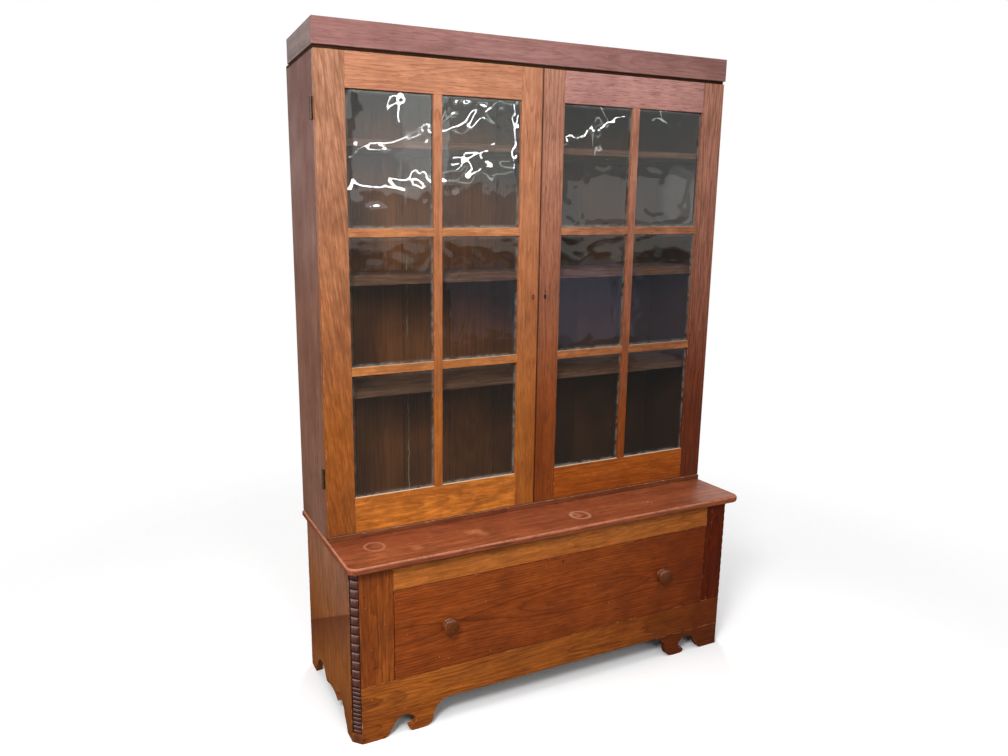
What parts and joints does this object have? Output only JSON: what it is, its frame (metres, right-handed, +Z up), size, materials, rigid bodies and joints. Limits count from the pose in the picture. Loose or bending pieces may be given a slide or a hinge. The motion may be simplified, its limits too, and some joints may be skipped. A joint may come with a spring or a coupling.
{
  "type": "step-back cupboard",
  "caption": "Tall wooden step-back cupboard: shallow upper case with glazed hinged doors and shelves over a deeper base with a wide drawer, carved corners and scrolled bracket feet",
  "frame": {"origin": "on the floor under the middle of the whole piece, halfway between the wall behind it and the step board's front edge", "axes": "+Z up; the doors and the drawer face -Y; +X to the right when facing the front"},
  "size_m": [1.4872, 0.514, 2.1],
  "materials": {
    "case_walnut": "old dull varnish on the sides of the upper case",
    "cornice_walnut": "faded varnish on the cornice",
    "left_door_walnut": "worn satin varnish, orange brown",
    "right_door_walnut": "worn satin varnish, red brown",
    "step_walnut": "polished top with ring stains",
    "front_walnut": "worn satin varnish",
    "carved_walnut": "dark wax in the carving",
    "inside_poplar": "bare, darkened with age",
    "drawer_poplar": "bare, planed",
    "old_glass": "wavy old window glass",
    "putty": "hardened glazing putty, stained brown",
    "old_iron": "dark rubbed iron"
  },
  "bodies": {
    "case": {"lower_side_left": "case_walnut", "lower_side_right": "case_walnut", "lower_back_boards": "inside_poplar", "step_board": "step_walnut", "front_stile_left": "front_walnut", "front_stile_right": "front_walnut", "drawer_rail": "front_walnut", "skirt_rail": "front_walnut", "bracket_foot_left": "front_walnut", "bracket_foot_right": "front_walnut", "carved_corner_left": "carved_walnut", "carved_corner_right": "carved_walnut", "drawer_runners": "inside_poplar", "drawer_kickers": "inside_poplar", "drawer_stops": "inside_poplar", "corner_blocks": "inside_poplar", "upper_side_left": "case_walnut", "upper_side_right": "case_walnut", "upper_bottom_board": "inside_poplar", "base_rail": "front_walnut", "shelf_upper": "inside_poplar", "shelf_middle": "inside_poplar", "shelf_lower": "inside_poplar", "upper_top_board": "case_walnut", "upper_back_boards": "inside_poplar", "cornice_front": "cornice_walnut", "cornice_returns": "cornice_walnut", "case_hinge_leaves": "old_iron"},
    "left_door": {"left_hinge_stile": "left_door_walnut", "left_meeting_stile": "left_door_walnut", "left_top_rail": "left_door_walnut", "left_bottom_rail": "left_door_walnut", "left_upright_bar": "left_door_walnut", "left_cross_bars": "left_door_walnut", "left_panes": "old_glass", "left_putty": "putty", "left_hinge_leaves": "old_iron", "left_lock_case": "old_iron"},
    "right_door": {"right_hinge_stile": "right_door_walnut", "right_meeting_stile": "right_door_walnut", "right_top_rail": "right_door_walnut", "right_bottom_rail": "right_door_walnut", "right_upright_bar": "right_door_walnut", "right_cross_bars": "right_door_walnut", "right_panes": "old_glass", "right_putty": "putty", "right_hinge_leaves": "old_iron", "right_bolt_plate": "old_iron"},
    "drawer": {"drawer_front": "front_walnut", "drawer_side_left": "drawer_poplar", "drawer_side_right": "drawer_poplar", "drawer_back": "drawer_poplar", "drawer_bottom": "drawer_poplar", "drawer_knobs": "front_walnut", "drawer_lock_case": "old_iron"},
    "left_lock_bolt": {"left_lock_bolt": "old_iron"},
    "right_top_bolt": {"right_top_bolt": "old_iron"},
    "drawer_lock_bolt": {"drawer_lock_bolt": "old_iron"}
  },
  "joints": [
    {"name": "left_door_hinge", "type": "hinge", "parent": "case", "child": "left_door", "pos_m": [-0.739, -0.0275, 1.3], "axis": [0, 0, -1], "range_deg": [0, 175]},
    {"name": "right_door_hinge", "type": "hinge", "parent": "case", "child": "right_door", "pos_m": [0.739, -0.0275, 1.3], "axis": [0, 0, 1], "range_deg": [0, 175]},
    {"name": "drawer_slide", "type": "slide", "parent": "case", "child": "drawer", "axis": [0, -1, 0], "range_m": [0, 0.36]},
    {"name": "left_lock_throw", "type": "slide", "parent": "left_door", "child": "left_lock_bolt", "axis": [1, 0, 0], "range_m": [0, 0.0095]},
    {"name": "right_bolt_throw", "type": "slide", "parent": "right_door", "child": "right_top_bolt", "axis": [0, 0, 1], "range_m": [0, 0.012]},
    {"name": "drawer_lock_throw", "type": "slide", "parent": "drawer", "child": "drawer_lock_bolt", "axis": [0, 0, 1], "range_m": [0, 0.01]}
  ]
}
